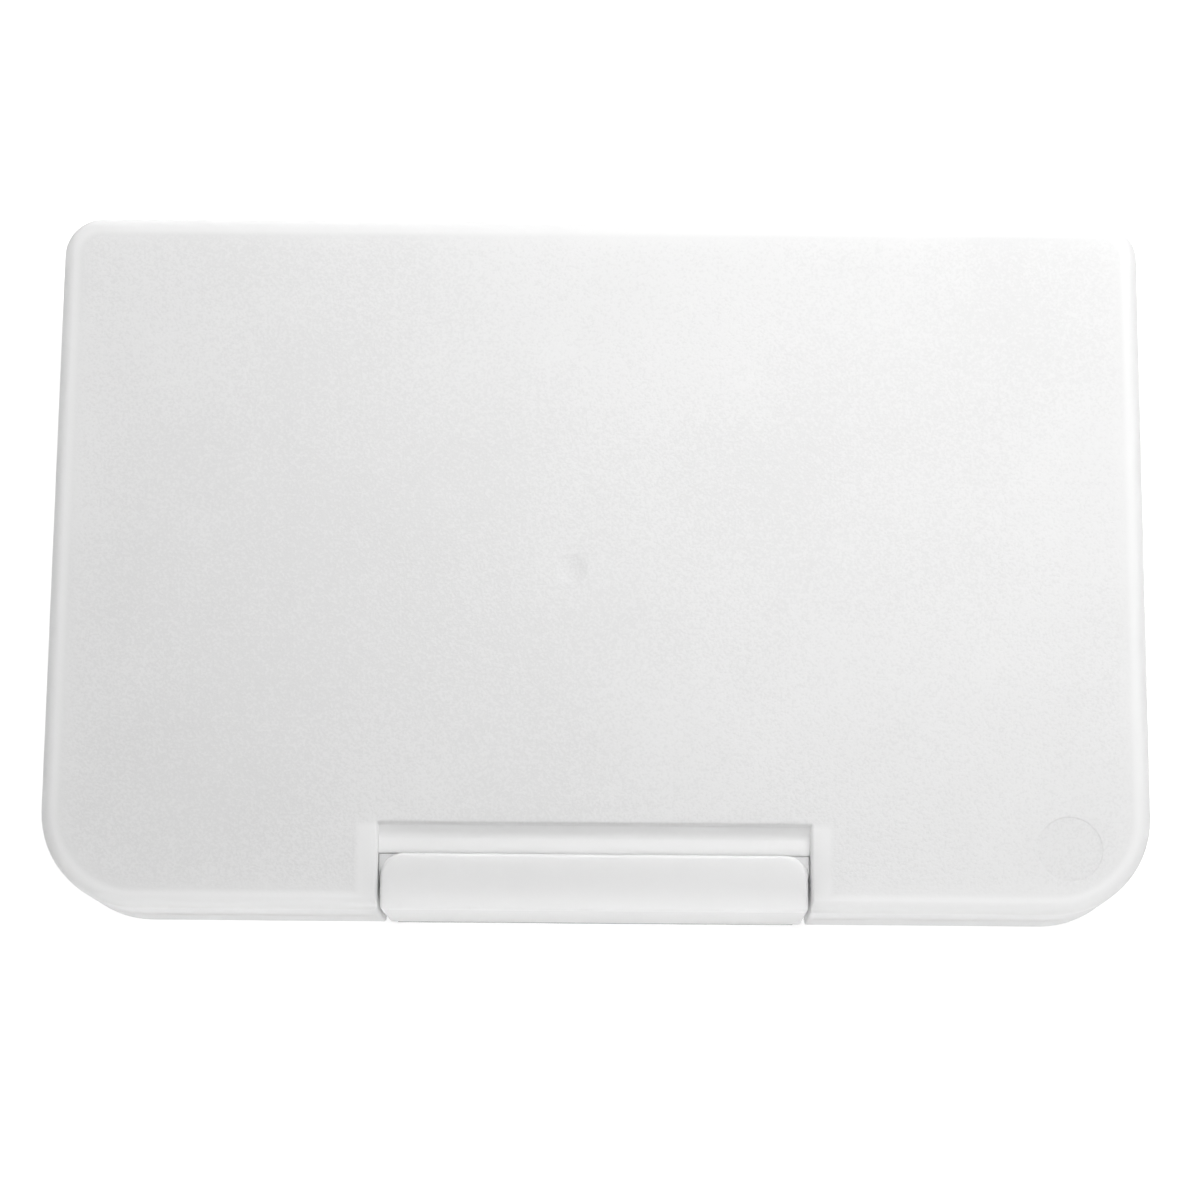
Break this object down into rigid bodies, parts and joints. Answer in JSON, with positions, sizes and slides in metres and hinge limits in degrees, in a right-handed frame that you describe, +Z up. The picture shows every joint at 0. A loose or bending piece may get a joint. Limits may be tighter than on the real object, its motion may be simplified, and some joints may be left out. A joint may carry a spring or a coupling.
{
  "type": "memory card case",
  "caption": "Flat clamshell case of frosted natural plastic with film hinges, a fold-over latch flap set into the front edge, and an inner tray of card pockets.",
  "frame": {"origin": "middle of the footprint, on the underside that the case rests on", "axes": "+X to the right along the case's long side, +Y from the latch to the rear hinge, +Z up through the lid"},
  "size_m": [0.096, 0.0631, 0.012],
  "materials": {
    "natural_polypropylene": "translucent, fine frosted texture",
    "tray_polypropylene": "translucent, satin",
    "hinge_film": "thin and nearly clear, stretched smooth by folding"
  },
  "bodies": {
    "base": {"base_shell": "natural_polypropylene", "card_tray": "tray_polypropylene", "rear_hinge_film_base": "hinge_film", "latch_hinge_film_base": "hinge_film"},
    "lid": {"lid_shell": "natural_polypropylene", "rear_hinge_film_lid": "hinge_film"},
    "latch": {"latch_flap": "natural_polypropylene", "latch_hinge_film_flap": "hinge_film"}
  },
  "joints": [
    {"name": "lid_hinge", "type": "hinge", "parent": "base", "child": "lid", "pos_m": [0, 0.0312, 0.006], "axis": [-1, 0, 0], "range_deg": [0, 180]},
    {"name": "latch_hinge", "type": "hinge", "parent": "base", "child": "latch", "pos_m": [0, -0.03125, 0.0003], "axis": [1, 0, 0], "range_deg": [0, 90]}
  ]
}
